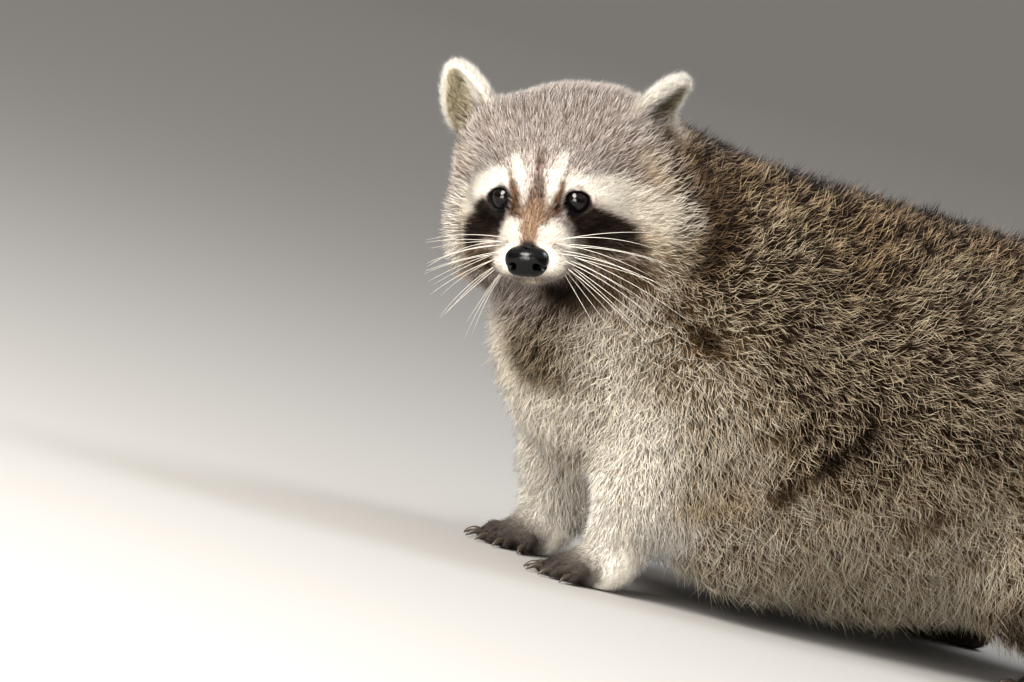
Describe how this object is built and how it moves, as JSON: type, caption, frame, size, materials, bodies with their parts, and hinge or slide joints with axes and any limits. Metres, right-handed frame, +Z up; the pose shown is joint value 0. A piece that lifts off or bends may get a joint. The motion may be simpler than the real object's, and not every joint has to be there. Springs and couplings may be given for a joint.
{
  "type": "raccoon",
  "caption": "Life-size still model of an adult raccoon standing on four feet, with its head turned to its left and its ringed tail laid on the floor.",
  "frame": {"origin": "centre of the model's bounding box in plan, on the floor under the soles", "axes": "-Y is the way the trunk faces, +X is the animal's left, +Z is up"},
  "size_m": [0.3634, 0.679, 0.2966],
  "materials": {
    "coat": "long soft fur with dark underfur and pale tips",
    "paw_coat": "very short fur over bare dark toes",
    "nose_skin": "black, moist and finely pebbled",
    "eye_glass": "dark brown, wet gloss",
    "claw_horn": "smooth horn"
  },
  "bodies": {
    "root": {"ear_left": "coat", "ear_right": "coat", "muzzle": "coat", "head": "coat", "neck": "coat", "forepaw_left": "paw_coat", "forepaw_right": "paw_coat", "hindpaw_left": "paw_coat", "hindpaw_right": "paw_coat", "forearm_left": "coat", "shank_left": "coat", "upper_foreleg_left": "coat", "thigh_left": "coat", "forearm_right": "coat", "shank_right": "coat", "upper_foreleg_right": "coat", "thigh_right": "coat", "tail_tip": "coat", "tail_middle": "coat", "tail_base": "coat", "trunk": "coat", "eye_left": "eye_glass", "eye_right": "eye_glass", "nose": "nose_skin", "claw_forepaw_left_1": "claw_horn", "claw_forepaw_left_2": "claw_horn", "claw_forepaw_left_3": "claw_horn", "claw_forepaw_left_4": "claw_horn", "claw_forepaw_left_5": "claw_horn", "claw_forepaw_right_1": "claw_horn", "claw_forepaw_right_2": "claw_horn", "claw_forepaw_right_3": "claw_horn", "claw_forepaw_right_4": "claw_horn", "claw_forepaw_right_5": "claw_horn", "claw_hindpaw_left_1": "claw_horn", "claw_hindpaw_left_2": "claw_horn", "claw_hindpaw_left_3": "claw_horn", "claw_hindpaw_left_4": "claw_horn", "claw_hindpaw_left_5": "claw_horn", "claw_hindpaw_right_1": "claw_horn", "claw_hindpaw_right_2": "claw_horn", "claw_hindpaw_right_3": "claw_horn", "claw_hindpaw_right_4": "claw_horn", "claw_hindpaw_right_5": "claw_horn"}
  },
  "joints": []
}
